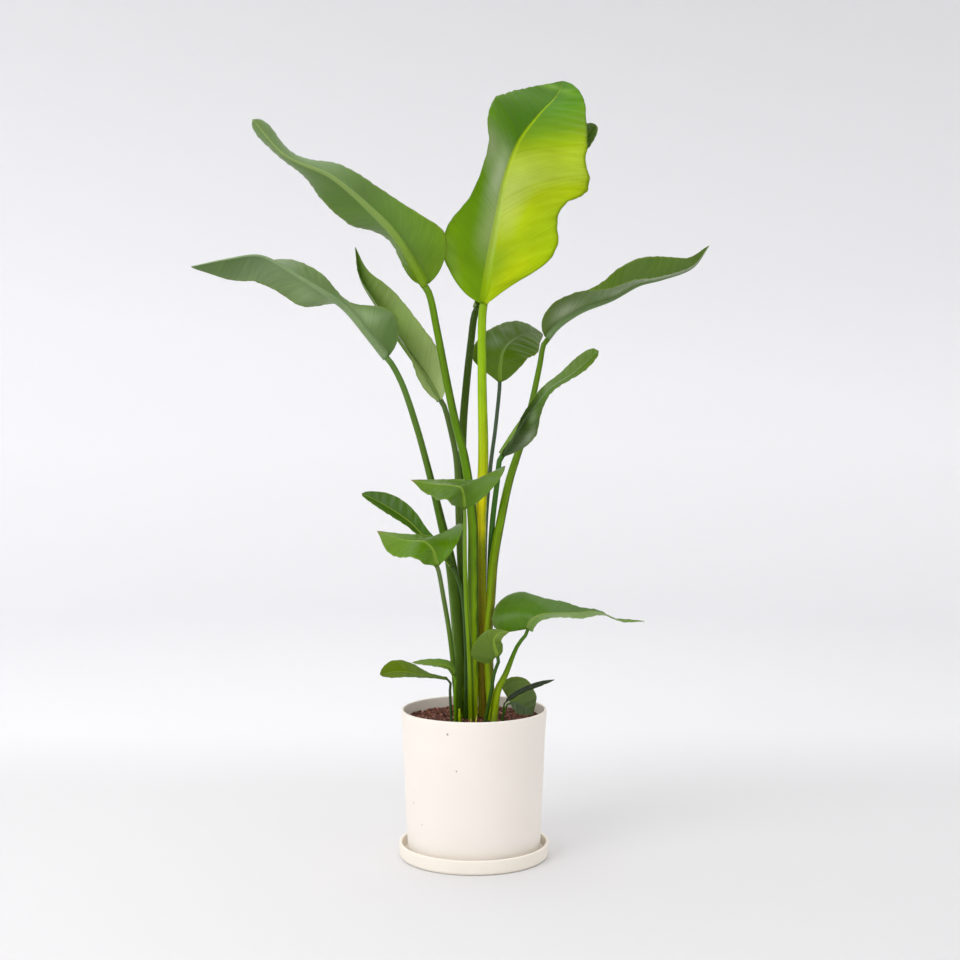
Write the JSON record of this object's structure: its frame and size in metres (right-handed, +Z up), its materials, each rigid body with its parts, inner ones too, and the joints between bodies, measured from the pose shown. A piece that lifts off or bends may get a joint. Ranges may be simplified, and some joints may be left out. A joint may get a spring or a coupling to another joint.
{
  "type": "potted bird of paradise plant",
  "caption": "Leafy bird of paradise houseplant with long upright stalks and broad blades, in a round off-white ceramic pot standing in its saucer.",
  "frame": {"origin": "centre of the saucer's flat underside, on the surface that the plant stands on", "axes": "+Z up along the pot's axis, +X to the viewer's right, +Y away from the viewer"},
  "size_m": [0.8566, 0.4137, 1.3665],
  "materials": {
    "pot_ceramic": "matte",
    "saucer_ceramic": "matte",
    "soil_coir": "matte",
    "leaf_bright": "satin",
    "leaf_dark": "satin",
    "leaf_grey": "satin",
    "stalk_bright": "satin",
    "stalk_dark": "satin",
    "sprout": "satin"
  },
  "bodies": {
    "root": {"saucer": "saucer_ceramic", "pot": "pot_ceramic", "soil": "soil_coir", "blade_tall_front": "leaf_bright", "stalk_tall_front": "stalk_bright", "blade_tall_back": "leaf_dark", "stalk_tall_back": "stalk_dark", "blade_upper_left": "leaf_grey", "stalk_upper_left": "stalk_bright", "blade_far_left": "leaf_grey", "stalk_far_left": "stalk_dark", "blade_inner_left": "leaf_grey", "stalk_inner_left": "stalk_dark", "blade_far_right": "leaf_dark", "stalk_far_right": "stalk_dark", "blade_back_right": "leaf_dark", "stalk_back_right": "stalk_dark", "blade_twisted_right": "leaf_dark", "stalk_twisted_right": "stalk_dark", "blade_front_upper": "leaf_dark", "stalk_front_upper": "stalk_dark", "blade_front_lower": "leaf_dark", "stalk_front_lower": "stalk_dark", "blade_narrow_left": "leaf_dark", "stalk_narrow_left": "stalk_dark", "blade_low_left": "leaf_bright", "stalk_low_left": "stalk_dark", "blade_low_left_small": "leaf_bright", "stalk_low_left_small": "stalk_bright", "blade_low_right": "leaf_dark", "stalk_low_right": "stalk_bright", "blade_low_front": "leaf_dark", "stalk_low_front": "stalk_dark", "blade_pot_right": "leaf_dark", "stalk_pot_right": "stalk_dark", "blade_spike": "leaf_dark", "stalk_spike": "stalk_dark", "cut_sheath": "stalk_bright", "sprout_left": "sprout", "sprout_right": "sprout"}
  },
  "joints": []
}
